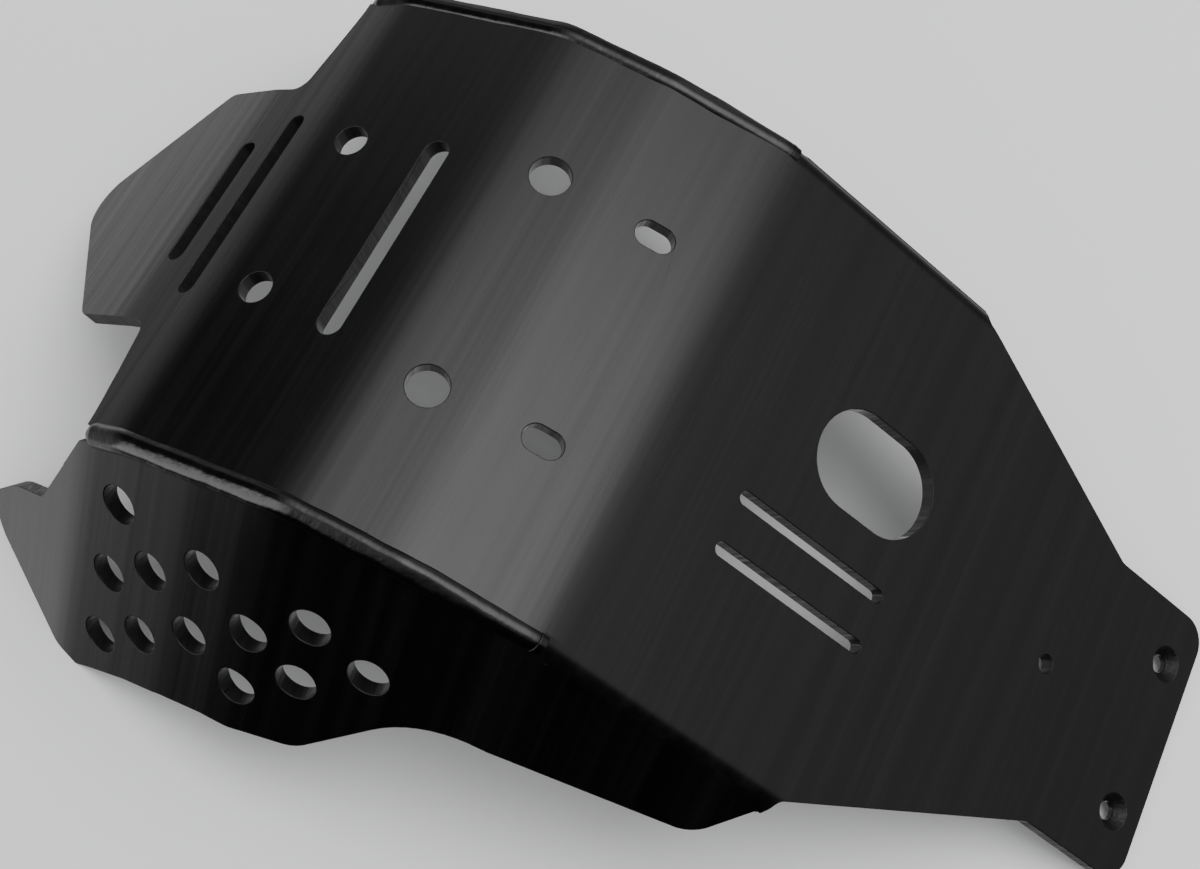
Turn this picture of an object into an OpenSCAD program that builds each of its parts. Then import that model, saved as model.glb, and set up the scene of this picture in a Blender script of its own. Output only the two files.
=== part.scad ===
// Motorcycle skid plate, folded from one laser-cut aluminium sheet.
// X points to the front of the bike, Y to its left and Z up. The flat belly lies on z = 0,
// and the origin is in the middle of it. Distances below are from the first cross bend.

/* [Sheet] */
// Thickness of the sheet
sheet_t = 6; // [4:0.5:8]
// Width of the floor between its two side folds
floor_w = 200; // [180:2:230]
// Outside radius of the cross bends and the wing bends
bend_r = 26; // [20:1:34]
// Outside radius of the two side folds
fold_r = 9; // [9:0.5:12]

/* [Floor] */
// Distance from the first cross bend back to the rear edge
belly_len = 257.5; // [250:0.5:275]
// Distance from the first cross bend back to the end of the side folds
fold_len = 106; // [98:1:112]
// Width of the narrow rear tongue
tongue_w = 108.6; // [100:0.2:116]
// Distance from the rear edge to where the tongue starts to widen
tongue_len = 51; // [44:1:56]
// Corner radius of the tongue
tongue_r = 11; // [4:0.5:14]
// Length of the first rising face
rise1_len = 47; // [44:0.5:52]
// Length of the second rising face
rise2_len = 43; // [40:0.5:48]
// Length of the third rising face
rise3_len = 68; // [66:0.5:74]
// Length of the fourth rising face
rise4_len = 44; // [42:0.5:50]
// Slope of the first rising face
rise1_deg = 19; // [15:0.5:22]
// Slope of the second rising face
rise2_deg = 27; // [24:0.5:32]
// Slope of the third rising face
rise3_deg = 50; // [46:0.5:53]
// Slope of the fourth rising face
rise4_deg = 67; // [62:0.5:69]
// Slope of the nose tab
nose_deg = 72; // [70:0.5:78]
// Length of the fourth face at the sides, in front of which it narrows
shoulder_len = 21.5; // [18:0.5:23]
// Width of the nose tab
nose_w = 107.6; // [100:0.2:116]
// Height on the nose tab at which its corners are cut off
nose_corner = 30; // [24:1:36]
// Tip radius of the nose tab
nose_r = 17; // [10:1:24]

/* [Wings] */
// Lean of the wings from upright
flare_deg = 34; // [30:0.5:36]
// Backward rake of the wing bends
rake_deg = 25; // [22:0.5:28]
// Distance from the first cross bend forward to the wing's first bend
wing_start = 2; // [1:0.5:4]
// Distance up the third rising face to the wing's third bend
wing_mid = 36; // [30:0.5:42]
// Turn of the front strip from the face behind it
strip_deg = 14; // [10:1:18]
// Open slit between the wing's edge and the floor, behind the weld
slit = 0.3; // [0.2:0.1:0.5]

/* [Holes in the floor] */
// Diameter of the two rear screw holes and the hole in front of them
screw_d = 7; // [6.4:0.1:7.4]
// Rim diameter of the 90 degree countersinks
sink_d = 14.2; // [12.6:0.1:15]
// Spacing of the two rear screw holes
screw_pitch = 62.6; // [58:0.2:68]
// Distance from the rear edge to the rear screw holes
screw_inset = 13.9; // [12:0.1:16]
// Distance from the rear edge to the single hole
single_inset = 69; // [62:0.5:76]
// Width of the oblong drain opening
drain_w = 37; // [32:0.5:40]
// Length of the oblong drain opening
drain_len = 54; // [48:0.5:58]
// Distance of the drain opening behind the first cross bend
drain_x = 87.6; // [82:0.2:94]
// Distance of the drain opening from the centreline
drain_y = 18.2; // [14:0.2:22]
// Width of the two belly slots
belly_slot_w = 5; // [4:0.2:7]
// Length of the two belly slots
belly_slot_len = 68.5; // [60:0.5:74]
// Distance of the belly slots behind the first cross bend
belly_slot_x = 76.6; // [70:0.2:84]
// Distance of the inner belly slot from the centreline
belly_slot_y = 18.9; // [17:0.1:22]
// Spacing of the belly slots
belly_slot_pitch = 19.9; // [16:0.1:24]
// Width of the short slots in the first rising face
short_slot_w = 9.6; // [8:0.2:12]
// Length of the short slots in the first rising face
short_slot_len = 14.6; // [13:0.2:18]
// Spacing of the short slots
short_slot_pitch = 83.4; // [76:0.2:92]
// Diameter of the two large holes in the second rising face
large_d = 14.8; // [12:0.2:18]
// Spacing of the two large holes
large_pitch = 87; // [80:0.5:96]
// Diameter of the two holes in the third rising face
small_d = 12.4; // [10:0.2:14]
// Spacing of the two holes in the third rising face
small_pitch = 65; // [58:0.5:72]
// Distance of those two holes up the third rising face
small_up = 54.9; // [51:0.1:57]
// Width of the long cross slot in the third rising face
cross_slot_w = 9.6; // [8:0.2:12]
// Length of the long cross slot
cross_slot_len = 82.2; // [74:0.2:90]
// Distance of the long cross slot up the third rising face
cross_slot_up = 20.3; // [17:0.1:24]
// Width of the two vent slots in the fourth rising face
vent_w = 8; // [6:0.2:9]
// Length of the lower vent slot
vent1_len = 81.4; // [74:0.2:88]
// Length of the upper vent slot
vent2_len = 55; // [48:0.5:62]
// Distance of the lower vent slot up the fourth face
vent_up = 19; // [18:0.1:21]
// Spacing of the vent slots
vent_pitch = 18.2; // [15:0.1:19]

/* [Holes in the wings] */
// Diameter of the lightening holes
light_d = 15; // [12:0.2:16]
// Distance from the wing's first bend to the front column of holes
light_front = 150; // [148:0.5:152]
// Distance from the seam's start down to the top row of holes, at the front column
light_top = 42; // [40:0.5:44]

/* [Weld] */
// Radius of the weld bead
bead_r = 4.2; // [4.1:0.1:4.6]
// Depth of the bead's centre below the outer face
bead_depth = 3.4; // [3.2:0.1:3.6]
// Distance by which the bead and the wing's free edge start behind the first cross bend
bead_back = 2; // [1:0.5:4]

/* [Hidden] */
$fn = 96;
half_w = floor_w / 2;
far = 160;

// Faces of the floor from the belly forward: slope and length of each
BELLY = 0;
RISE1 = 1;
RISE2 = 2;
RISE3 = 3;
RISE4 = 4;
NOSE = 5;
face_deg = [0, rise1_deg, rise2_deg, rise3_deg, rise4_deg, nose_deg];
face_len = [0, rise1_len, rise2_len, rise3_len, rise4_len, nose_corner + nose_w / 2];

function dir(deg) = [cos(deg), sin(deg)];
function side(deg) = [-sin(deg), cos(deg)];
function unit(v) = v / norm(v);
// Corner at the end of face k of a bent sheet, which starts at 0, 0 with face 1
function corner(deg, len, k) = k == 0 ? [0, 0] : corner(deg, len, k - 1) + len[k] * dir(deg[k]);

// Points along an arc that rounds a corner, for one side of the sheet
function bend_points(at, a, b, r, rho) =
    let (mid = (a + b) / 2, centre = at + r / cos((b - a) / 2) * side(mid), n = ceil((b - a) / 3))
    [for (i = [0:n]) centre - rho * side(a + (b - a) * i / n)];
// Edge view of a bent sheet, whose bends all turn the same way. back is the length of face 0.
function bent_side(deg, len, back, rho, off) =
    let (last = len(deg) - 1)
    [corner(deg, len, 0) - back * dir(deg[0]) + off * side(deg[0]),
        for (k = [0:last - 1]) each bend_points(corner(deg, len, k), deg[k], deg[k + 1], bend_r, rho),
        corner(deg, len, last) + off * side(deg[last])];
function reversed(v) = [for (i = [len(v) - 1:-1:0]) v[i]];
function bent_sheet(deg, len, back) = concat(
    bent_side(deg, len, back, bend_r, 0),
    reversed(bent_side(deg, len, back, bend_r - sheet_t, sheet_t)));

// Side fold: the wing leans out, so the fold turns less than a right angle
fold_deg = 90 - flare_deg;
fold_set = fold_r * tan(fold_deg / 2);
fold_y = half_w - fold_set;
// In front of the fold the floor's side edge stops short of the wing's inner face
groove_y = half_w - sheet_t * (1 - sin(flare_deg)) / cos(flare_deg);
edge_y = groove_y - slit;
bead_y = half_w - 1.8;

// The wing's corners on the seam, as seen from the side: it cuts straight across some floor bends
function floor_corner(k) = corner(face_deg, face_len, k);
seam = [[wing_start, 0], floor_corner(2), floor_corner(2) + wing_mid * dir(rise3_deg),
    floor_corner(3) + (shoulder_len + 0.5) * dir(rise4_deg)];
function seam_deg(k) = k == 0 ? 0 : atan2(seam[k][1] - seam[k - 1][1], seam[k][0] - seam[k - 1][0]);
// All wing bends run in one direction, raked back and leaning out. A wing face that follows a
// seam of this slope runs this way across the bends, for each millimetre of seam.
function across(deg) = [cos(deg) * cos(rake_deg) + sin(deg) * cos(flare_deg) * sin(rake_deg),
    sin(deg) * sin(flare_deg)];
function wing_face_deg(k) = k == 4 ? wing_face_deg(3) + strip_deg
    : atan2(across(seam_deg(k))[1], across(seam_deg(k))[0]);
wing_deg = [for (k = [0:4]) wing_face_deg(k)];
wing_len = [0, for (k = [1:3]) norm(seam[k] - seam[k - 1]) * norm(across(seam_deg(k))), 75];
// Flat distance from the wing's first bend to the end of face k
function wing_u(k) = k == 0 ? 0 : wing_u(k - 1) + wing_len[k];
strip_u = wing_u(3);

// Corners of an outline, each [x, y, radius], become points with true round corners
function corner_points(a, p, c, r) =
    let (d1 = unit(a - p), d2 = unit(c - p), half = acos(max(-1, min(1, d1 * d2))) / 2,
        centre = p + unit(d1 + d2) * r / sin(half),
        t1 = p + d1 * r / tan(half) - centre, t2 = p + d2 * r / tan(half) - centre,
        a1 = atan2(t1[1], t1[0]), raw = atan2(t2[1], t2[0]) - a1,
        sweep = raw > 180 ? raw - 360 : raw < -180 ? raw + 360 : raw, n = ceil(abs(sweep) / 6))
    [for (i = [0:n]) centre + r * dir(a1 + sweep * i / n)];
function xy(v) = [v[0], v[1]];
function rounded(pts) =
    let (n = len(pts))
    [for (i = [0:n - 1])
        each pts[i][2] == 0 ? [xy(pts[i])]
            : corner_points(xy(pts[(i + n - 1) % n]), xy(pts[i]), xy(pts[(i + 1) % n]), pts[i][2])];

// Frame of floor face k: X up the face, Y to the left, Z into the plate
module on_face(k) {
    at = floor_corner(max(0, k - 1));
    translate([at[0], 0, at[1]]) rotate([0, -face_deg[k], 0]) children();
}

// Straight cut through the sheet at this place, of any outline
module through() {
    translate([0, 0, -20]) linear_extrude(60) children();
}

// A round-ended slot of this overall length, along X
module slot(length, width) {
    r = width / 2;
    through() polygon(rounded([[-length / 2, -r, r - 0.01], [length / 2, -r, r - 0.01],
        [length / 2, r, r - 0.01], [-length / 2, r, r - 0.01]]));
}

module hole(d) {
    translate([0, 0, -1]) cylinder(h = sheet_t + 2, d = d);
}

// Screw hole with a 90 degree countersink in the ground side
module countersunk_hole() {
    hole(screw_d);
    translate([0, 0, -1]) cylinder(h = 1 + sink_d / 2, d1 = sink_d + 2, d2 = 0);
}

module bent_floor() {
    translate([0, edge_y, 0]) rotate([90, 0, 0]) linear_extrude(2 * edge_y)
        polygon(bent_sheet(face_deg, face_len, belly_len + 10));
}

// Waste around the rear of the belly: the tongue, its taper and the rear end of the folds
module rear_waste() {
    start = belly_len - tongue_len;
    through() polygon(rounded([
        [4 - fold_len, 120, 0],
        [-fold_len, half_w - 1.5, 4],
        [-start, tongue_w / 2, 6],
        [-belly_len, tongue_w / 2, tongue_r],
        [-belly_len, -tongue_w / 2, tongue_r],
        [-start, -tongue_w / 2, 6],
        [-fold_len, 1.5 - half_w, 4],
        [4 - fold_len, -120, 0],
        [-belly_len - 40, -120, 0],
        [-belly_len - 40, 120, 0]]));
}

// Waste at both sides of the fourth rising face
module shoulder_waste() {
    for (s = [0, 1]) mirror([0, s, 0]) through() polygon(rounded([
        [shoulder_len, 120, 0],
        [shoulder_len + 0.4, half_w - 8, 60],
        [shoulder_len + 7.4, nose_w / 2, 7],
        [rise4_len, nose_w / 2, 0],
        [rise4_len, 120, 0]]));
}

// Waste around the nose tab, whose cut corners meet in a round tip
module nose_waste() {
    through() polygon(rounded([
        [0, 120, 0],
        [0, nose_w / 2, 0],
        [nose_corner, nose_w / 2, 8],
        [nose_corner + nose_w / 2, 0, nose_r],
        [nose_corner, -nose_w / 2, 8],
        [0, -nose_w / 2, 0],
        [0, -120, 0],
        [far, -120, 0],
        [far, 120, 0]]));
}

module floor_holes() {
    for (s = [-1, 1])
        translate([screw_inset - belly_len, s * screw_pitch / 2, 0]) countersunk_hole();
    translate([single_inset - belly_len, 0, 0]) hole(screw_d);
    translate([-drain_x, drain_y, 0]) slot(drain_len, drain_w);
    for (i = [0, 1])
        translate([-belly_slot_x, -belly_slot_y - i * belly_slot_pitch, 0])
            slot(belly_slot_len, belly_slot_w);
    on_face(RISE1)
        for (s = [-1, 1])
            translate([0.58 * rise1_len, s * short_slot_pitch / 2, 0]) slot(short_slot_len, short_slot_w);
    on_face(RISE2)
        for (s = [-1, 1]) translate([rise2_len / 2, s * large_pitch / 2, 0]) hole(large_d);
    on_face(RISE3) {
        translate([cross_slot_up, 0, 0]) rotate(90) slot(cross_slot_len, cross_slot_w);
        for (s = [-1, 1]) translate([small_up, s * small_pitch / 2, 0]) hole(small_d);
    }
    on_face(RISE4)
        for (v = [[vent_up, vent1_len], [vent_up + vent_pitch, vent2_len]])
            translate([v[0], 0, 0]) rotate(90) slot(v[1], vent_w);
}

// Round corner between the floor and the left wing. It laps into both.
module side_fold() {
    function ring(r) = [for (i = [0:16]) [fold_y, fold_r] - r * side(fold_deg * i / 16)];
    lap = 3;
    tip = lap * dir(fold_deg);
    inset = 0.02 * side(fold_deg);
    translate([-fold_len - 10, 0, 0]) rotate([90, 0, 90]) linear_extrude(fold_len + 10 - bead_back)
        polygon(concat(
            [[fold_y - lap, 0]],
            ring(fold_r),
            [ring(fold_r)[16] + inset, ring(fold_r)[16] + inset + tip],
            [ring(fold_r - sheet_t)[16] - inset + tip, ring(fold_r - sheet_t)[16] - inset],
            reversed(ring(fold_r - sheet_t)),
            [[fold_y - lap, sheet_t]]));
}

// Frame of wing face k: X across the bends, Z along them, and the outer side at y = 0
module on_wing(k) {
    at = corner(wing_deg, wing_len, max(0, k - 1));
    translate([wing_start, half_w, 0]) rotate([-flare_deg, 0, 0]) rotate([0, -rake_deg, 0])
        translate([at[0], -at[1], 0]) rotate([0, 0, -wing_deg[k]]) children();
}

// Waste beyond the wing's free edges on face k. In the flat sheet, x runs across the bends
// from the first one and y along them.
module wing_waste(k) {
    from = k == 0 ? -far : wing_u(k - 1);
    to = k == 4 ? strip_u + 90 : wing_u(k);
    on_wing(k) translate([-(k == 0 ? 0 : wing_u(k - 1)), 20, 0]) rotate([90, 0, 0]) linear_extrude(60)
        intersection() {
            polygon(rounded([
                [-130, 3.4, 0],
                [-75.9, 71.6, 12],
                [21.3, 53.5, 45],
                [62.5, 98.9, 16],
                [120, 111.5, 230],
                [strip_u + 8.3, 148, 15],
                [strip_u + 60.8, 109.7, 4],
                [strip_u + 42, 88.4, 35],
                [strip_u + 21.6, 75.4, 5],
                [strip_u - 51.2, -90, 0],
                [strip_u + far, -90, 0],
                [strip_u + far, 230, 0],
                [-far - 20, 230, 0],
                [-far - 20, 3.4, 0]]));
            translate([from, -100]) square([to - from, 340]);
        }
}

// Columns of lightening holes: distance behind the front column, and drop along the bends
light_cols = [[0, 0], [18.3, 16.9], [39.2, 35.3], [61.4, 55.4], [82, 71.9], [105.3, 89.6]];
// Rows of holes: distance below the top row, first and last column
light_rows = [[0, 0, 0], [34.6, 0, 2], [68.1, 0, 4], [96.1, 3, 5]];
function wing_face_at(u) = u < wing_u(1) ? 1 : u < wing_u(2) ? 2 : 3;

module wing_holes() {
    for (row = light_rows, i = [row[1]:row[2]]) {
        u = light_front - light_cols[i][0];
        k = wing_face_at(u);
        on_wing(k) translate([u - wing_u(k - 1), 4, light_top + row[0] - light_cols[i][1]])
            rotate([90, 0, 0]) cylinder(h = sheet_t + 12, d = light_d);
    }
}

// Space below face k of the floor and its weld groove, to which the wing's edge is cut back
module seam_cut(k, from) {
    low = sheet_t + slit;
    drop = 60 * tan(flare_deg);
    on_face(k) translate([from, 0, 0]) rotate([90, 0, 90]) linear_extrude(200)
        polygon([[40, low], [groove_y, low], [groove_y + 60, low - drop], [groove_y + 60, -120], [40, -120]]);
}

// The left wing with its edge along the seam cut, before its free edges and holes are
module wing_sheet() {
    difference() {
        on_wing(0) translate([0, 0, -30]) linear_extrude(200) mirror([0, 1])
            polygon(bent_sheet(wing_deg, wing_len, 125));
        translate([0, half_w, 0]) rotate([-flare_deg, 0, 0])
            translate([-300, -60, fold_set - 200]) cube([300 - bead_back, 120, 200]);
        seam_cut(BELLY, -bead_back - 0.3);
        seam_cut(RISE1, 0.2);
        for (k = [RISE2:RISE4]) seam_cut(k, -10);
    }
}

module left_wing() {
    difference() {
        wing_sheet();
        for (k = [0:4]) wing_waste(k);
        wing_holes();
    }
}

module floor_sheet() {
    difference() {
        union() {
            difference() {
                bent_floor();
                for (s = [0, 1]) mirror([0, s, 0])
                    translate([-400, fold_y, -20]) cube([400 - bead_back, 40, 60]);
            }
            for (s = [0, 1]) mirror([0, s, 0]) side_fold();
        }
        rear_waste();
        on_face(RISE4) shoulder_waste();
        on_face(NOSE) nose_waste();
        floor_holes();
    }
}

module plate() {
    color([0.16, 0.16, 0.17]) in_place() {
        floor_sheet();
        for (s = [0, 1]) mirror([0, s, 0]) left_wing();
    }
}

// Edge view of a band along the floor's corners, between two depths below its outer face
function band_side(depth) = [
    [-bead_back - 10, depth],
    for (k = [0:3]) floor_corner(k)
        + depth / cos((face_deg[k + 1] - face_deg[k]) / 2) * side((face_deg[k] + face_deg[k + 1]) / 2),
    floor_corner(3) + (shoulder_len + 5) * dir(rise4_deg) + depth * side(rise4_deg)];

// Waste outside the bead's round back, all along floor face k
module bead_waste(k) {
    on_face(k) translate([-100, 0, 0]) rotate([90, 0, 90]) linear_extrude(220)
        polygon(concat(
            [for (a = [-84:12:84]) [bead_y, bead_depth] - bead_r * side(a)],
            [[bead_y + 12, bead_depth - 0.1 * bead_r], [bead_y + 12, -60],
                [bead_y - 12, -60], [bead_y - 12, bead_depth - 0.1 * bead_r]]));
}

// Waste beyond a round end of the bead, in a frame whose X runs into the bead
module bead_end() {
    through() polygon(concat(
        [for (a = [-88:8:88]) [-bead_r * cos(a), bead_y + bead_r * sin(a)]],
        [[-0.03 * bead_r, bead_y + 12], [-30, bead_y + 12], [-30, bead_y - 12], [-0.03 * bead_r, bead_y - 12]]));
}

module left_bead() {
    half = 0.99 * bead_r;
    color([0.45, 0.45, 0.46]) difference() {
        translate([0, bead_y + half, 0]) rotate([90, 0, 0]) linear_extrude(2 * half)
            polygon(concat(band_side(-3), reversed(band_side(sheet_t - 0.1))));
        for (k = [BELLY:RISE4]) bead_waste(k);
        translate([1 - bead_back, 0, 0]) bead_end();
        on_face(RISE4) translate([shoulder_len - bead_r, 0, 0]) mirror([1, 0, 0]) bead_end();
        bent_floor();
        side_fold();
        wing_sheet();
    }
}

// The first cross bend lies this far in front of the middle of the belly
module in_place() {
    translate([belly_len / 2, 0, 0]) children();
}

module left_weld_bead() {
    in_place() left_bead();
}

module right_weld_bead() {
    in_place() mirror([0, 1, 0]) left_bead();
}

plate();
left_weld_bead();
right_weld_bead();
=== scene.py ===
import math

import bmesh
import bpy
import numpy as np
from mathutils import Matrix, Vector


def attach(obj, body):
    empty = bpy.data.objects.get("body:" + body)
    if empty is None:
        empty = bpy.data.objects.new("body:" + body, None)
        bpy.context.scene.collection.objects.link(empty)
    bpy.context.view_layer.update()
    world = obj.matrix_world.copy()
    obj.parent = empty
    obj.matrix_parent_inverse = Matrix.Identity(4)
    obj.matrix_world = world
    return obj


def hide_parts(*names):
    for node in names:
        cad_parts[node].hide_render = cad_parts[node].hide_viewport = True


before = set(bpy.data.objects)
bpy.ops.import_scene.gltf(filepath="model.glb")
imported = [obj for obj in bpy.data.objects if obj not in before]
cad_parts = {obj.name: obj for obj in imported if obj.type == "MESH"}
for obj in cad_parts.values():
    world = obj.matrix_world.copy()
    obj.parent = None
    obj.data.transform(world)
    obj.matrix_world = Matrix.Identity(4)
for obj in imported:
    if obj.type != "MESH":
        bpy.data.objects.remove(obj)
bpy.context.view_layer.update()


# Camera
# The plate lies on its back, so the camera looks up at its ground side, from
# in front of and a little outside the right-hand wing. It is fitted to the
# plate's outline and holes.

EYE = (0.33449, -0.20792, -0.44748)
TO_RIGHT = (-0.75188, 0.44591, -0.48564)
TO_TOP = (0.56347, 0.81705, -0.12217)
AWAY = (-0.34232, 0.36550, 0.86558)

lens = bpy.data.cameras.new("camera")
lens.sensor_width = 36.0
lens.lens = 48.51
lens.shift_x = 0.0155
lens.shift_y = -0.0497
lens.clip_start = 0.01
camera = bpy.data.objects.new("camera", lens)
columns = [TO_RIGHT, TO_TOP, [-v for v in AWAY], EYE]
camera.matrix_world = Matrix([[c[i] for c in columns] for i in range(3)] + [[0, 0, 0, 1]])
bpy.context.scene.collection.objects.link(camera)
bpy.context.scene.camera = camera


# The sheet
# One laser-cut sheet of 6 mm aluminium: the belly curls up to the nose in five
# press-brake bends, and the two perforated wings fold down from its sides. It is
# deburred and black anodised, and its rolling grain runs across the plate.

# The first bend's place, the lengths of the four faces between the bends on the ground
# side, and the slope of each face in degrees, from the belly to the nose.
BEND_X = 0.12875
FACES = (0.047, 0.043, 0.068, 0.044)
SLOPES = (0, 19, 27, 50, 67, 72)
BELLY_LENGTH = 0.2575
SHEET_THICKNESS = 0.006
# How far the wings lean out from upright, and how far their bends rake backwards.
FLARE = math.radians(34)
RAKE = math.radians(25)
# The tool mark's middle from the first bend, its size, and its tilt from the bend.
TOOL_MARK_AT = (-0.0136, 0.0045)
TOOL_MARK_WIDTH = 0.0007
TOOL_MARK_LENGTH = 0.078
TOOL_MARK_TILT = math.atan(0.058)
SHEET_BLACK = "#060607"
SHEET_STREAK = "#101012"
EDGE_BLACK = "#0d0d0e"


def linear(text):
    """sRGB hex to the linear RGBA that a shader socket takes."""
    parts = [int(text[i:i + 2], 16) / 255 for i in (1, 3, 5)]
    return tuple(p / 12.92 if p <= 0.04045 else ((p + 0.055) / 1.055) ** 2.4 for p in parts) + (1.0,)


def add(tree, kind, inputs=(), **settings):
    """Adds one node. inputs pairs a socket with a value or with another node's output."""
    made = tree.nodes.new(kind)
    for name, value in settings.items():
        setattr(made, name, value)
    for socket, value in inputs:
        if isinstance(value, bpy.types.NodeSocket):
            tree.links.new(value, made.inputs[socket])
        else:
            made.inputs[socket].default_value = value
    return made


def blank(name):
    """A new material with an empty node tree."""
    made = bpy.data.materials.new(name)
    made.use_nodes = True
    made.node_tree.nodes.clear()
    return made, made.node_tree


def anodised_sheet():
    """Black anodised rolled aluminium, sealed. The oxide is clear and glassy, with an
    IOR of about 1.65, over dyed black, so the sheet is black where nothing bright
    is mirrored in it and satin grey where a lamp is. The rolling grain under the
    oxide stretches what it mirrors, and shows as faint lines across the plate."""
    made, tree = blank("black anodised sheet")
    grain = add(tree, "ShaderNodeUVMap", uv_map="grain").outputs["UV"]
    # Rolling grain: lines about 0.9 mm apart and 70 mm long, coarser than the real
    # 0.1 mm ones, so that they show in the render.
    fine = add(tree, "ShaderNodeMapping", [("Vector", grain), ("Scale", (1 / 0.0009, 1 / 0.07, 1))])
    lines = add(tree, "ShaderNodeTexNoise", [("Vector", fine.outputs[0]), ("Scale", 1.0), ("Detail", 3.0),
                                             ("Roughness", 0.6)])
    # Press and roller marks: long shallow waves from 15 mm down to 2 mm wide,
    # parallel to the bends.
    slow = add(tree, "ShaderNodeMapping", [("Vector", grain), ("Scale", (1 / 0.015, 1 / 0.9, 1))])
    waves = add(tree, "ShaderNodeTexNoise", [("Vector", slow.outputs[0]), ("Scale", 1.0), ("Detail", 3.0),
                                             ("Roughness", 0.5)])
    # Handling: faint cloudy patches about 40 mm across in the sealing.
    patches = add(tree, "ShaderNodeMapping", [("Vector", grain), ("Scale", (1 / 0.04, 1 / 0.06, 1))])
    cloud = add(tree, "ShaderNodeTexNoise", [("Vector", patches.outputs[0]), ("Scale", 1.0), ("Detail", 2.0)])
    both = add(tree, "ShaderNodeMath", [(0, lines.outputs["Fac"]), (1, cloud.outputs["Fac"])],
               operation="ADD")
    rough = add(tree, "ShaderNodeMapRange", [("Value", both.outputs[0]), ("From Min", 0.6), ("From Max", 1.4),
                                             ("To Min", 0.22), ("To Max", 0.30)])
    low = add(tree, "ShaderNodeMath", [(0, waves.outputs["Fac"]), (1, 360e-6)], operation="MULTIPLY")
    height = add(tree, "ShaderNodeMath", [(0, lines.outputs["Fac"]), (1, 2.5e-6), (2, low.outputs[0])],
                 operation="MULTIPLY_ADD")
    # One tool mark lies about 14 mm behind the first bend: 14 microns deep where both
    # its own coordinates are within its width and length.
    level = add(tree, "ShaderNodeMapping", [
        ("Vector", grain), ("Location", (-TOOL_MARK_AT[0], -TOOL_MARK_AT[1], 0)),
        ("Rotation", (0, 0, -TOOL_MARK_TILT))])
    mark = add(tree, "ShaderNodeSeparateXYZ", [(0, level.outputs[0])])
    wide = add(tree, "ShaderNodeMath", [(0, mark.outputs["X"]), (1, 0.0), (2, TOOL_MARK_WIDTH / 2)],
               operation="COMPARE")
    long = add(tree, "ShaderNodeMath", [(0, mark.outputs["Y"]), (1, 0.0), (2, TOOL_MARK_LENGTH / 2)],
               operation="COMPARE")
    mark = add(tree, "ShaderNodeMath", [(0, wide.outputs[0]), (1, long.outputs[0])], operation="MULTIPLY")
    height = add(tree, "ShaderNodeMath", [(0, mark.outputs[0]), (1, -14e-6), (2, height.outputs[0])],
                 operation="MULTIPLY_ADD")
    bump = add(tree, "ShaderNodeBump", [("Height", height.outputs[0]), ("Strength", 1.0), ("Distance", 1.0)])
    # The dye takes a little less well along some of the rolling lines: streaks up to 8 mm
    # wide, right across the plate.
    bands = add(tree, "ShaderNodeMapping", [("Vector", grain), ("Scale", (1 / 0.008, 1 / 1.2, 1))])
    streaks = add(tree, "ShaderNodeTexNoise", [("Vector", bands.outputs[0]), ("Scale", 1.0), ("Detail", 4.0),
                                               ("Roughness", 0.6)])
    share = add(tree, "ShaderNodeMapRange", [("Value", streaks.outputs["Fac"]), ("From Min", 0.42),
                                             ("From Max", 0.72)])
    dye = add(tree, "ShaderNodeMix", [("Factor", share.outputs[0]), (6, linear(SHEET_BLACK)),
                                      (7, linear(SHEET_STREAK))], data_type="RGBA")
    shader = add(tree, "ShaderNodeBsdfPrincipled", [
        ("Base Color", dye.outputs[2]), ("Metallic", 0.0), ("IOR", 1.65),
        ("Roughness", rough.outputs[0]), ("Normal", bump.outputs[0])])
    add(tree, "ShaderNodeOutputMaterial", [("Surface", shader.outputs[0])])
    return made


def laser_cut_edge():
    """The same anodising on a laser-cut edge. The beam leaves a fine unevenness, about
    1.5 mm apart here, coarser than the real 0.4 mm, so that it shows. It makes the
    edge duller than the rolled face."""
    made, tree = blank("anodised laser-cut edge")
    grain = add(tree, "ShaderNodeUVMap", uv_map="grain").outputs["UV"]
    close = add(tree, "ShaderNodeMapping", [("Vector", grain), ("Scale", (1 / 0.0015, 1 / 0.0015, 1))])
    lines = add(tree, "ShaderNodeTexNoise", [("Vector", close.outputs[0]), ("Scale", 1.0), ("Detail", 2.0)])
    rough = add(tree, "ShaderNodeMapRange", [("Value", lines.outputs["Fac"]), ("From Min", 0.35),
                                             ("From Max", 0.65), ("To Min", 0.36), ("To Max", 0.55)])
    height = add(tree, "ShaderNodeMath", [(0, lines.outputs["Fac"]), (1, 260e-6)], operation="MULTIPLY")
    bump = add(tree, "ShaderNodeBump", [("Height", height.outputs[0]), ("Strength", 1.0), ("Distance", 1.0)])
    shader = add(tree, "ShaderNodeBsdfPrincipled", [
        ("Base Color", linear(EDGE_BLACK)), ("Metallic", 0.0), ("IOR", 1.5),
        ("Roughness", rough.outputs[0]), ("Normal", bump.outputs[0])])
    add(tree, "ShaderNodeOutputMaterial", [("Surface", shader.outputs[0])])
    return made


def bend_corners():
    """Where the ground faces meet, in the XZ plane from the first bend: the faces'
    lengths added up along their slopes."""
    slopes = np.radians(SLOPES[1:5])
    steps = np.array(FACES)[:, None] * np.stack([np.cos(slopes), np.sin(slopes)], axis=1)
    return np.concatenate([[(0.0, 0.0)], np.cumsum(steps, axis=0)])


CORNERS = bend_corners()


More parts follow.
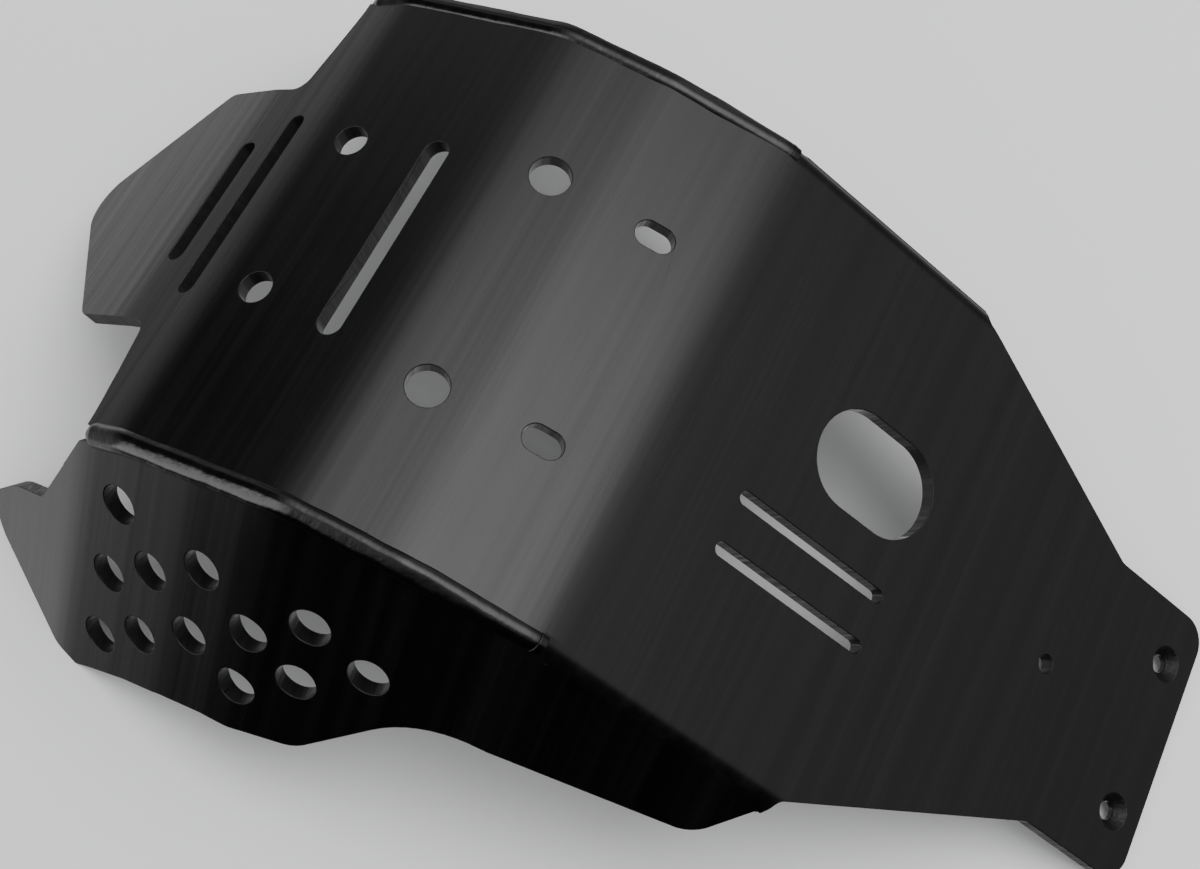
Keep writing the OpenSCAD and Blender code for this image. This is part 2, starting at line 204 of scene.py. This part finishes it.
def along_sheet(points):
    """Distance along the belly and up the bends, measured on the ground face: each
    point is put on the nearest of the straight runs between the bend corners. The
    first run starts 1 m behind the first bend, and the last ends 0.4 m up the nose."""
    nose = math.radians(SLOPES[-1])
    tip = CORNERS[-1] + 0.4 * np.array((math.cos(nose), math.sin(nose)))
    corners = np.concatenate([[(-1.0, 0.0)], CORNERS, [tip]])
    starts, ends = corners[:-1], corners[1:]
    runs = ends - starts
    lengths = np.linalg.norm(runs, axis=1)
    before = np.concatenate([[0.0], np.cumsum(lengths)[:-1]]) - 1.0
    flat = points[:, [0, 2]] - (BEND_X, 0.0)
    part = np.einsum("psk,sk->ps", flat[:, None] - starts, runs) / lengths ** 2
    part = np.clip(part, 0.0, 1.0)
    gap = np.linalg.norm(flat[:, None] - starts - part[..., None] * runs, axis=2)
    best = gap.argmin(axis=1)
    rows = np.arange(len(points))
    return before[best] + part[rows, best] * lengths[best]


# A press brake eases a sheet over more than the radius of its tool, so the shading
# turns slowly through each bend: where its middle is, how far the easing runs on
# either side of it, and how many degrees it turns. The floor's places are distances
# along the ground face, the wings' are distances across their bends.
FLOOR_PLACES = (0.0,) + tuple(np.cumsum(FACES))
FLOOR_REACH = (0.013, 0.013, 0.016, 0.010, 0.013)
FLOOR_TURNS = np.diff(SLOPES)
WING_PLACES = (0.1400, 0.2277, 0.2577, 0.2990)
WING_REACH = (0.012, 0.010, 0.007, 0.008)
WING_TURNS = (12.75, 14.15, 3.45, 14.55)
# Where the far wing's hook starts and ends, across the wing's bends. It is shorter than
# the near one: none of it shows past the nose.
FAR_HOOK_START = 0.28
FAR_HOOK_END = 0.3150
# Corners that turn more than the first angle shade sharp, and those past the second
# are deburred. The seam between wing and floor, from a little behind the first bend on,
# stays as it was folded.
SHARP_CORNER = math.radians(28)
CUT_CORNER = math.radians(40)
DEBURRED = 0.0003
SEAM_Y = (0.085, 0.108)
SEAM_BACK = 0.008


def eased(x, middle, reach):
    """0 before a bend, 1 after it, and a smooth cubic step between."""
    t = np.clip((x - middle + reach) / (2 * reach), 0, 1)
    return t * t * (3 - 2 * t)


def turned(x, places, reaches, turns):
    """Radians turned at distance x: the eased steps of all the bends, added up."""
    return np.radians(sum(eased(x, p, r) * t for p, r, t in zip(places, reaches, turns)))


def wing_axes(side):
    """Unit vectors down the wing, along its bends, and across them towards the nose."""
    down = np.array((-math.sin(RAKE), side * math.cos(RAKE) * math.sin(FLARE),
                     math.cos(RAKE) * math.cos(FLARE)))
    across = np.array((1.0, 0, 0)) - down * down[0]
    return down, across / np.linalg.norm(across)


def cut(shell, at, along):
    """Cuts the whole mesh along a plane, given by a point and its normal."""
    parts = shell.verts[:] + shell.edges[:] + shell.faces[:]
    bmesh.ops.bisect_plane(shell, geom=parts, dist=1e-5, plane_co=Vector(at), plane_no=Vector(along))


def trim_far_hook(shell):
    """Cuts the far wing off straight at FAR_HOOK_END, and closes the cut."""
    across = Vector(wing_axes(1)[1])
    hook = []
    for face in shell.faces:
        middle = face.calc_center_median()
        if middle.dot(across) > FAR_HOOK_START and middle.y > 0.08 and middle.z > 0.12:
            hook.append(face)
    parts = list({v for f in hook for v in f.verts}) + list({e for f in hook for e in f.edges}) + hook
    bmesh.ops.bisect_plane(shell, geom=parts, dist=1e-6, plane_co=across * FAR_HOOK_END, plane_no=across,
                           clear_outer=True)
    bmesh.ops.holes_fill(shell, edges=[e for e in shell.edges if len(e.link_faces) == 1], sides=0)


def plate_shell():
    """A merged copy of the CAD plate. Every bend is cut into strips in which its
    shading can turn, and the corners that deburring eases are marked."""
    shell = bmesh.new()
    shell.from_mesh(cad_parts["plate"].data)
    bmesh.ops.remove_doubles(shell, verts=shell.verts, dist=2e-7)
    bmesh.ops.dissolve_limit(shell, angle_limit=math.radians(0.4), verts=shell.verts, edges=shell.edges)
    trim_far_hook(shell)
    for bend, (corner, reach) in enumerate(zip(CORNERS, FLOOR_REACH)):
        for share in (-1, -0.6, -0.25, 0.25, 0.6, 1):
            slope = math.radians(SLOPES[bend + (share > 0)])
            run = np.array((math.cos(slope), 0, math.sin(slope)))
            cut(shell, (BEND_X + corner[0], 0, corner[1]) + run * share * reach, run)
    for side in (-1, 1):
        across = wing_axes(side)[1]
        for middle, reach in zip(WING_PLACES, WING_REACH):
            for share in (-1, -0.5, 0.5, 1):
                cut(shell, across * (middle + share * reach), across)
    ease = shell.edges.layers.float.new("bevel_weight_edge")
    for edge in shell.edges:
        turn = edge.calc_face_angle(0) if len(edge.link_faces) == 2 else 0
        edge.smooth = turn < SHARP_CORNER
        mid = (edge.verts[0].co + edge.verts[1].co) / 2
        seam = SEAM_Y[0] < abs(mid.y) < SEAM_Y[1] and mid.x > BEND_X - SEAM_BACK
        edge[ease] = 1.0 if turn > CUT_CORNER and not seam else 0.0
    for face in shell.faces:
        face.smooth = True
    return shell


def deburred_piece(shell):
    """The shell as a piece, its marked corners rounded as deburring leaves them and
    its flat faces kept flat in the shading."""
    rough = bpy.data.meshes.new("skid_plate")
    shell.to_mesh(rough)
    shell.free()
    piece = bpy.data.objects.new("skid_plate", rough)
    bpy.context.scene.collection.objects.link(piece)
    deburr = piece.modifiers.new("deburred corners", "BEVEL")
    deburr.width = DEBURRED
    deburr.segments = 2
    deburr.limit_method = "WEIGHT"
    deburr.use_clamp_overlap = False
    flatten = piece.modifiers.new("flat faces stay flat", "WEIGHTED_NORMAL")
    flatten.keep_sharp = True
    flatten.weight = 100
    graph = bpy.context.evaluated_depsgraph_get()
    mesh = bpy.data.meshes.new_from_object(piece.evaluated_get(graph), preserve_all_data_layers=True,
                                           depsgraph=graph)
    piece.modifiers.clear()
    piece.data = mesh
    return piece


def read(items, name, width, kind=float):
    """One property of all of a mesh's vertices, faces or corners, a row for each."""
    values = np.zeros(len(items) * width, dtype=kind)
    items.foreach_get(name, values)
    return values.reshape(-1, width) if width > 1 else values


def shade_and_grain(mesh):
    """Gives the sheet's faces normals that turn with the eased bends, and lays the grain
    on them: on the floor by the distance along the sheet and across it, on the wings by
    the distance across their bends and down them. Cut walls get the second material.
    The floor's normal at turn a is (sin a, 0, -cos a). A wing's is its first face's
    normal times cos a, and the way across its bends times sin a."""
    points = read(mesh.vertices, "co", 3)
    corner = read(mesh.loops, "vertex_index", 1, int)
    middle, facing = read(mesh.polygons, "center", 3), read(mesh.polygons, "normal", 3)
    corners_each = read(mesh.polygons, "loop_total", 1, int)
    shade = read(mesh.corner_normals, "vector", 3)

    # The faces of the rolled sheet, as against its cut walls, are told by the way they
    # face: the floor's as its slope is due there, the wings' square to the wing's depth,
    # and the side folds' with no slope to the front.
    side = np.where(middle[:, 1] > 0, 1, -1)
    ground = np.where(facing[:, 2] < 0, 1, -1)
    slope = np.degrees(np.arctan2(facing[:, 0] * ground, -facing[:, 2] * ground))
    due = np.degrees(turned(along_sheet(middle), FLOOR_PLACES, FLOOR_REACH, FLOOR_TURNS))
    floor = (np.abs(facing[:, 1]) < 0.03) & (np.abs(slope - due) < 15) & (np.abs(middle[:, 1]) < 0.1005)
    downs, acrosses = (np.array([wing_axes(k)[axis] for k in (-1, 1)])[(side + 1) // 2] for axis in (0, 1))
    wing = (np.abs((facing * downs).sum(axis=1)) < 0.04) & (np.abs(facing[:, 1]) > 0.55)
    fold = (np.abs(facing[:, 0]) < 0.02) & (np.abs(middle[:, 1]) > 0.094)
    mesh.polygons.foreach_set("material_index", np.where(floor | wing | fold, 0, 1).astype(np.int32))

    def per_corner(values):
        """A value of each face, repeated for each of its corners."""
        return np.repeat(values, corners_each, axis=0)

    at = points[corner]
    s = along_sheet(points)[corner]
    a = turned(s, FLOOR_PLACES, FLOOR_REACH, FLOOR_TURNS)
    floor_way = np.stack([np.sin(a), np.zeros(len(a)), -np.cos(a)], axis=1) * per_corner(ground)[:, None]
    u = (at * per_corner(acrosses)).sum(axis=1)
    a = turned(u, WING_PLACES, WING_REACH, WING_TURNS)[:, None]
    first = np.zeros((len(u), 3))
    first[:, 1] = math.cos(FLARE) * per_corner(side)
    first[:, 2] = -math.sin(FLARE)
    wing_way = first * np.cos(a) + per_corner(acrosses) * np.sin(a)
    # A face on the wing's engine side takes the opposite normal, and a face that points
    # elsewhere keeps its own.
    wing_way *= np.sign((wing_way * per_corner(facing)).sum(axis=1))[:, None]
    near = (wing_way * per_corner(facing)).sum(axis=1) > math.cos(math.radians(14))
    shade = np.where(per_corner(floor)[:, None], floor_way, shade)
    shade = np.where((per_corner(wing) & near)[:, None], wing_way, shade)
    mesh.normals_split_custom_set(shade.tolist())

    # The wings' grain is moved 0.2 m down, to other lines than the floor's.
    hung = np.stack([u, 0.2 + (at * per_corner(downs)).sum(axis=1)], axis=1)
    flat = np.stack([s, at[:, 1]], axis=1)
    outside = per_corner(np.abs(middle[:, 1]) > 0.101)
    layer = mesh.uv_layers.new(name="grain")
    layer.data.foreach_set("uv", np.where(outside[:, None], hung, flat).astype(np.float32).ravel())


sheet = deburred_piece(plate_shell())
shade_and_grain(sheet.data)
sheet.data.materials.append(anodised_sheet())
sheet.data.materials.append(laser_cut_edge())
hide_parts("plate")
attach(sheet, "root")


# Weld beads
# Where each wing is folded up against the bends its edge is welded to the
# belly: one TIG bead a side, run over the bends and dressed smooth, then
# anodised with the sheet.

# The bead's distance from the middle, its radius, how deep its centre lies, the radius
# of its turns, where it starts from the first bend, and how far past the fourth it ends.
BEAD_Y = 0.0982
BEAD_R = 0.00415
BEAD_DEPTH = 0.0034
BEAD_TURN = 0.0226
BEAD_START = -0.001
BEAD_END = 0.0173
# It swells in a smooth step: the step's middle, and how far it runs on either side.
BEAD_SWELL = (0.024, 0.016)
# The flat that dressing leaves, from the centre, and how softly it runs out.
BEAD_FLAT = 0.0042
BEAD_BLEND = 0.00018
# Rings along it, rings in each rounded end, and points around it.
BEAD_ROWS = 300
BEAD_END_ROWS = 6
BEAD_POINTS = 48


def bead_path(count):
    """Points along the bead in the XZ plane, with their headings: the straight runs of
    the ground face moved in by BEAD_DEPTH, joined by arcs of radius BEAD_TURN."""
    angles = np.radians(SLOPES[:5])
    ahead = np.stack([np.cos(angles), np.sin(angles)], axis=1)
    inward = np.stack([-np.sin(angles), np.cos(angles)], axis=1)
    half = np.diff(angles)[:, None] / 2
    bisect = inward[:-1] + inward[1:]
    bisect /= np.linalg.norm(bisect, axis=1)[:, None]
    knees = CORNERS[:4] + bisect * BEAD_DEPTH / np.cos(half)
    centres = knees - ahead[:-1] * BEAD_TURN * np.tan(half) + inward[:-1] * BEAD_TURN
    arcs = angles[:-1, None] + 2 * half * np.linspace(0, 1, 9)
    bows = centres[:, None] + BEAD_TURN * np.stack([np.sin(arcs), -np.cos(arcs)], axis=2)
    last = CORNERS[3] + ahead[4] * BEAD_END + inward[4] * BEAD_DEPTH
    spots = np.concatenate([[(BEAD_START, BEAD_DEPTH)], bows.reshape(-1, 2), [last]])
    turns = np.concatenate([[0.0], arcs.ravel(), [angles[4]]])
    travel = np.concatenate([[0.0], np.cumsum(np.linalg.norm(np.diff(spots, axis=0), axis=1))])
    s = np.linspace(0.0, travel[-1], count)
    x, z = np.interp(s, travel, spots[:, 0]), np.interp(s, travel, spots[:, 1])
    return s, np.stack([x, z], axis=1), np.interp(s, travel, turns)


def bead_mesh(name, side):
    """A circle carried along the bead's path. It starts narrow at the belly and swells to
    its full width by 40 mm. Its radius wanders a little, with faint ripples every
    2.6 mm where the puddle was fed and eight shallow flutes where it was dressed
    lengthwise, and it closes to a half ball at both ends."""
    s, spots, turns = bead_path(BEAD_ROWS)
    cap = np.linspace(0.04, 1.0, BEAD_END_ROWS + 1)[:-1]
    ball = np.sqrt(1 - cap ** 2)
    reach = np.concatenate([-ball, np.zeros(BEAD_ROWS), ball[::-1]]) * BEAD_R
    size = np.concatenate([cap, np.ones(BEAD_ROWS), cap[::-1]])
    turns = np.pad(turns, BEAD_END_ROWS, mode="edge")
    s = np.pad(s, BEAD_END_ROWS, mode="edge") + reach
    spots = np.pad(spots, ((BEAD_END_ROWS, BEAD_END_ROWS), (0, 0)), mode="edge")
    spots = spots + reach[:, None] * np.stack([np.cos(turns), np.sin(turns)], axis=1)
    swell = eased(s, *BEAD_SWELL)
    wander = 0.020 * np.sin(s * 2 * np.pi / 0.031 + side) + 0.008 * np.sin(s * 2 * np.pi / 0.0123 + 2 * side)
    puddle = 0.003 * np.abs(np.sin(s * np.pi / 0.0026))
    radius = BEAD_R * size * (0.985 + 0.14 * swell + wander * swell - puddle)
    angle = np.linspace(0, 2 * np.pi, BEAD_POINTS, endpoint=False)
    drift = 0.5 * np.sin(s * 2 * np.pi / 0.083 + side) + 0.3 * np.sin(s * 2 * np.pi / 0.021)
    flutes = 1 + np.cos(8 * angle[None, :] + drift[:, None])
    radius = radius[:, None] * (1 - 0.008 * swell[:, None] * flutes)
    # The flat lies at half the angle between belly and wing. The radius is the smaller
    # of the circle's and the flat's, with a soft edge between them.
    lean = np.pi - side * np.radians(28)
    flat = BEAD_FLAT / np.maximum(np.cos(angle - lean), 0.2)[None, :]
    flat = np.minimum(flat, 0.012)
    lower = -BEAD_BLEND * np.log(np.exp(-radius / BEAD_BLEND) + np.exp(-flat / BEAD_BLEND))
    radius = np.where(size[:, None] >= 1, radius + (lower - radius) * swell[:, None], radius)
    inward = np.stack([-np.sin(turns), np.cos(turns)], axis=1)
    out = np.cos(angle)[None, :, None] * inward[:, None, :] * radius[..., None]
    x = spots[:, None, 0] + out[..., 0] + BEND_X
    z = spots[:, None, 1] + out[..., 1]
    y = side * BEAD_Y + np.sin(angle)[None, :] * radius
    points = np.stack([x, y, z], axis=2).reshape(-1, 3)
    r, c = np.meshgrid(np.arange(len(s) - 1), np.arange(BEAD_POINTS), indexing="ij")
    low, high = r * BEAD_POINTS, (r + 1) * BEAD_POINTS
    d = (c + 1) % BEAD_POINTS
    quads = np.stack([low + c, low + d, high + d, high + c], axis=2).reshape(-1, 4)
    start = tuple(range(BEAD_POINTS))[::-1]
    end = tuple(range(len(points) - BEAD_POINTS, len(points)))
    mesh = bpy.data.meshes.new(name)
    mesh.from_pydata(points.tolist(), [], quads.tolist() + [start, end])
    shell = bmesh.new()
    shell.from_mesh(mesh)
    bmesh.ops.recalc_face_normals(shell, faces=shell.faces)
    shell.to_mesh(mesh)
    shell.free()
    mesh.polygons.foreach_set("use_smooth", np.ones(len(mesh.polygons), dtype=bool))
    return mesh


def anodised_weld():
    """Anodised aluminium weld metal. Its surface froze smooth, so it is glossier than
    the rolled sheet, with only a slight orange-peel unevenness about 3 mm across."""
    made, tree = blank("black anodised weld")
    place = add(tree, "ShaderNodeTexCoord").outputs["Object"]
    peel = add(tree, "ShaderNodeTexNoise", [("Vector", place), ("Scale", 330.0), ("Detail", 2.0)])
    rough = add(tree, "ShaderNodeMapRange", [("Value", peel.outputs["Fac"]), ("From Min", 0.3),
                                             ("From Max", 0.7), ("To Min", 0.14), ("To Max", 0.24)])
    height = add(tree, "ShaderNodeMath", [(0, peel.outputs["Fac"]), (1, 120e-6)], operation="MULTIPLY")
    bump = add(tree, "ShaderNodeBump", [("Height", height.outputs[0]), ("Strength", 1.0), ("Distance", 1.0)])
    shader = add(tree, "ShaderNodeBsdfPrincipled", [
        ("Base Color", linear(SHEET_BLACK)), ("Metallic", 0.0), ("IOR", 1.65),
        ("Roughness", rough.outputs[0]), ("Normal", bump.outputs[0])])
    add(tree, "ShaderNodeOutputMaterial", [("Surface", shader.outputs[0])])
    return made


weld_metal = anodised_weld()
for side, name in ((1, "left_weld_bead"), (-1, "right_weld_bead")):
    bead = bpy.data.objects.new(name + "_dressed", bead_mesh(name + "_dressed", side))
    bead.data.materials.append(weld_metal)
    bpy.context.scene.collection.objects.link(bead)
    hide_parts(name)
    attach(bead, "root")


# Floor and bench
# Two plain pale planes, each seen from its front only. The floor is under the
# belly, for the views from above. The bench carries the plate as it lies on
# its back: it runs from the rear edge to the near wing's hook.

FLOOR_PALE = "#eceded"
# The floor is 0.4 mm under the weld beads, which are lowest, and the bench is half a
# millimetre off the rear edge.
FLOOR_Z = -0.0012
BENCH_GAP = 0.0005
BENCH_TILT = math.radians(27.9)
HALF_WIDTH = 6.0
PLATE_MIDDLE = (0.08, 0, 0.05)


def seen_from_front(name, text):
    """Matt paint on the front of a plane, nothing at its back."""
    made, tree = blank(name)
    paint = add(tree, "ShaderNodeBsdfDiffuse", [("Color", linear(text))])
    clear = add(tree, "ShaderNodeBsdfTransparent")
    back = add(tree, "ShaderNodeNewGeometry").outputs["Backfacing"]
    mixed = add(tree, "ShaderNodeMixShader", [(0, back), (1, paint.outputs[0]), (2, clear.outputs[0])])
    add(tree, "ShaderNodeOutputMaterial", [("Surface", mixed.outputs[0])])
    return made


def plane(name, centre, across, up, material):
    """A rectangle: its centre, and the ways and lengths from there to two of its sides.
    Its front faces the way of the cross product of the two."""
    centre, across, up = map(np.array, (centre, across, up))
    corners = [centre + a * across + b * up for a, b in ((-1, -1), (1, -1), (1, 1), (-1, 1))]
    mesh = bpy.data.meshes.new(name)
    mesh.from_pydata([tuple(c) for c in corners], [], [(0, 1, 2, 3)])
    mesh.materials.append(material)
    made = bpy.data.objects.new(name, mesh)
    bpy.context.scene.collection.objects.link(made)
    for ray in ("diffuse", "glossy", "transmission", "shadow", "volume_scatter"):
        setattr(made, "visible_" + ray, False)
    return made


paper = seen_from_front("pale paper", FLOOR_PALE)
plane("floor", (PLATE_MIDDLE[0], 0, FLOOR_Z), (HALF_WIDTH, 0, 0), (0, HALF_WIDTH, 0), paper)
bench_up = np.array((math.sin(BENCH_TILT), 0, -math.cos(BENCH_TILT)))
bench_along = np.array((math.cos(BENCH_TILT), 0, math.sin(BENCH_TILT)))
bench_side = np.cross(bench_up, bench_along)
rear_edge = np.array((BEND_X - BELLY_LENGTH, 0.0, SHEET_THICKNESS)) - BENCH_GAP * bench_up
plane("bench", rear_edge, HALF_WIDTH * bench_along, HALF_WIDTH * bench_side, paper)


# Light
# Soft lamps on both sides of the plate light what is matt. What the anodising
# mirrors is a studio tent: a big softbox over the ground side, pale walls, and
# a black flag beside the near wing.

# The tent's levels by angle in degrees about the plate's cross axis, counted from
# straight down towards the front: on the near side, and on the far one.
TENT_NEAR = (
    (-180, 0.50), (-150, 1.10), (-120, 1.10), (-90, 0.40), (-60, 0.20), (-46, 0.24), (-26, 0.36),
    (-13, 0.62), (0, 1.50), (9, 2.00), (17, 2.30), (22, 2.55), (27, 3.00), (33, 2.10), (39, 1.40),
    (52, 0.75), (64, 0.24), (75, 0.08), (88, 0.02), (104, 0.03), (116, 0.20), (127, 0.30), (139, 0.78),
    (160, 0.66), (180, 0.50))
TENT_FAR = (
    (-180, 0.50), (-150, 1.10), (-120, 1.10), (-90, 0.40), (-60, 0.22), (-46, 0.26), (-26, 0.32),
    (-13, 0.42), (0, 0.72), (9, 0.84), (17, 1.00), (22, 1.15), (27, 1.40), (33, 1.00), (39, 0.80),
    (52, 0.57), (64, 0.40), (75, 0.34), (88, 0.31), (102, 0.31), (114, 0.38), (126, 0.50), (139, 0.78),
    (160, 0.66), (180, 0.50))
# A ramp's colours end at 1, so they hold the levels over the highest.
TENT_TOP = 3.0
# The black flag's middle, and the strip lamp's level.
FLAG_WAY = (-0.301, -0.954, 0.0)
STRIP_LEVEL = 2.2
TENT_RADIUS = 4.0


def tent_paint():
    """Light from each direction: a mix of the two ramps by how far it points to the far
    side, times the shade of the flag beside the near wing and of two fainter ones, with
    one strip lamp added. Each shade and edge is a smooth step."""
    made, tree = blank("studio tent")
    place = add(tree, "ShaderNodeTexCoord").outputs["Object"]
    ray = add(tree, "ShaderNodeVectorMath", [(0, place)], operation="NORMALIZE").outputs[0]
    part = add(tree, "ShaderNodeSeparateXYZ", [(0, ray)])
    below = add(tree, "ShaderNodeMath", [(0, part.outputs["Z"]), (1, -1.0)], operation="MULTIPLY").outputs[0]
    turn = add(tree, "ShaderNodeMath", [(0, part.outputs["X"]), (1, below)], operation="ARCTAN2").outputs[0]
    share = add(tree, "ShaderNodeMapRange", [
        ("Value", turn), ("From Min", -math.pi), ("From Max", math.pi)]).outputs[0]
    levels = []
    for table in (TENT_NEAR, TENT_FAR):
        ramp = add(tree, "ShaderNodeValToRGB", [("Fac", share)])
        ramp.color_ramp.interpolation = "EASE"
        stops = ramp.color_ramp.elements
        stops[0].position, stops[1].position = 0.0, 1.0
        for degrees, _ in table[1:-1]:
            stops.new((degrees + 180) / 360)
        for stop, (_, level) in zip(stops, table):
            stop.color = (level / TENT_TOP, level / TENT_TOP, level / TENT_TOP, 1)
        levels.append(ramp.outputs["Color"])

    aside = part.outputs["Y"]
    leaning = add(tree, "ShaderNodeVectorMath", [(0, ray), (1, FLAG_WAY)],
                  operation="DOT_PRODUCT").outputs["Value"]
    steps = {}
    for name, value, start, end, low, high in (
            ("far side", aside, 0.28, 0.58, 0.0, 1.0),
            ("wing flag", leaning, 0.36, 0.73, TENT_TOP, 0.0),
            ("far flag", aside, 0.62, 0.74, 1.0, 0.4),
            ("low flag's side", aside, -0.45, -0.15, 1.0, 0.0),
            ("low flag's top", turn, math.radians(36), math.radians(62), 0.8, 0.0),
            ("strip's outer edge", aside, -0.84, -0.70, 0.0, 1.0),
            ("strip's inner edge", aside, -0.54, -0.40, 1.0, 0.0),
            ("strip's lower end", turn, math.radians(40), math.radians(80), 0.0, 1.0),
            ("strip's upper end", turn, math.radians(118), math.radians(140), 1.0, 0.0)):
        steps[name] = add(tree, "ShaderNodeMapRange", [
            ("Value", value), ("From Min", start), ("From Max", end), ("To Min", low), ("To Max", high)],
            interpolation_type="SMOOTHSTEP").outputs[0]
    level = add(tree, "ShaderNodeMix", [("Factor", steps["far side"]), (6, levels[0]), (7, levels[1])],
                data_type="RGBA").outputs[2]
    low = add(tree, "ShaderNodeMath", [(0, steps["low flag's side"]), (1, steps["low flag's top"])],
              operation="MULTIPLY").outputs[0]
    low_flag = add(tree, "ShaderNodeMath", [(0, 1.0), (1, low)], operation="SUBTRACT").outputs[0]
    flag = steps["wing flag"]
    for shade in (steps["far flag"], low_flag):
        flag = add(tree, "ShaderNodeMath", [(0, flag), (1, shade)], operation="MULTIPLY").outputs[0]
    strip = STRIP_LEVEL
    for edge in ("strip's outer edge", "strip's inner edge", "strip's lower end", "strip's upper end"):
        strip = add(tree, "ShaderNodeMath", [(0, strip), (1, steps[edge])], operation="MULTIPLY").outputs[0]
    base = add(tree, "ShaderNodeEmission", [("Color", level), ("Strength", flag)])
    lamp = add(tree, "ShaderNodeEmission", [("Color", linear("#ffffff")), ("Strength", strip)])
    both = add(tree, "ShaderNodeAddShader", [(0, base.outputs[0]), (1, lamp.outputs[0])])
    add(tree, "ShaderNodeOutputMaterial", [("Surface", both.outputs[0])])
    return made


def tent_shell():
    """A ball: the angle down from its top by the turn about its axis, on a grid. Two
    holes of a few millimetres are left at its poles."""
    rows, columns = 33, 64
    down = np.linspace(0.001, np.pi - 0.001, rows)
    about = np.linspace(0, 2 * np.pi, columns, endpoint=False)
    t, r = np.meshgrid(down, about, indexing="ij")
    ways = np.stack([np.sin(t) * np.cos(r), np.sin(t) * np.sin(r), np.cos(t)], axis=2)
    points = TENT_RADIUS * ways.reshape(-1, 3)
    i, j = np.meshgrid(np.arange(rows - 1), np.arange(columns), indexing="ij")
    low, high = i * columns, (i + 1) * columns
    k = (j + 1) % columns
    quads = np.stack([low + j, low + k, high + k, high + j], axis=2).reshape(-1, 4)
    mesh = bpy.data.meshes.new("tent")
    mesh.from_pydata(points.tolist(), [], quads.tolist())
    mesh.materials.append(tent_paint())
    return mesh


tent = bpy.data.objects.new("tent", tent_shell())
bpy.context.scene.collection.objects.link(tent)
for ray in ("camera", "diffuse", "transmission", "shadow", "volume_scatter"):
    setattr(tent, "visible_" + ray, False)


def softbox(name, place, aim, size, watts):
    """A square area lamp that lights matt surfaces. The tent stands for it in mirrors."""
    light = bpy.data.lights.new(name, "AREA")
    light.shape, light.size, light.energy = "SQUARE", size, watts
    lamp = bpy.data.objects.new(name, light)
    lamp.location = place
    lamp.rotation_euler = (Vector(aim) - Vector(place)).to_track_quat("-Z", "Y").to_euler()
    lamp.visible_glossy = False
    bpy.context.scene.collection.objects.link(lamp)


softbox("lamp over the ground side", (0.55, 0.30, -1.30), PLATE_MIDDLE, 1.2, 20.0)
softbox("lamp over the engine side", (-0.35, -0.45, 1.45), PLATE_MIDDLE, 1.2, 19.0)

world = bpy.data.worlds.new("studio")
bpy.context.scene.world = world
world.use_nodes = True
sky = world.node_tree
sky.nodes.clear()
path = add(sky, "ShaderNodeLightPath")
seen = add(sky, "ShaderNodeMath", [(0, path.outputs["Is Camera Ray"]), (1, path.outputs["Is Glossy Ray"])],
           operation="MAXIMUM")
seen = add(sky, "ShaderNodeMath", [(0, seen.outputs[0]), (1, path.outputs["Is Transmission Ray"])],
           operation="MAXIMUM")
soft = add(sky, "ShaderNodeBackground", [("Color", linear("#ffffff")), ("Strength", 0.73)])
pale = add(sky, "ShaderNodeBackground", [("Color", linear(FLOOR_PALE)), ("Strength", 1.0)])
blend = add(sky, "ShaderNodeMixShader", [(0, seen.outputs[0]), (1, soft.outputs[0]), (2, pale.outputs[0])])
add(sky, "ShaderNodeOutputWorld", [("Surface", blend.outputs[0])])
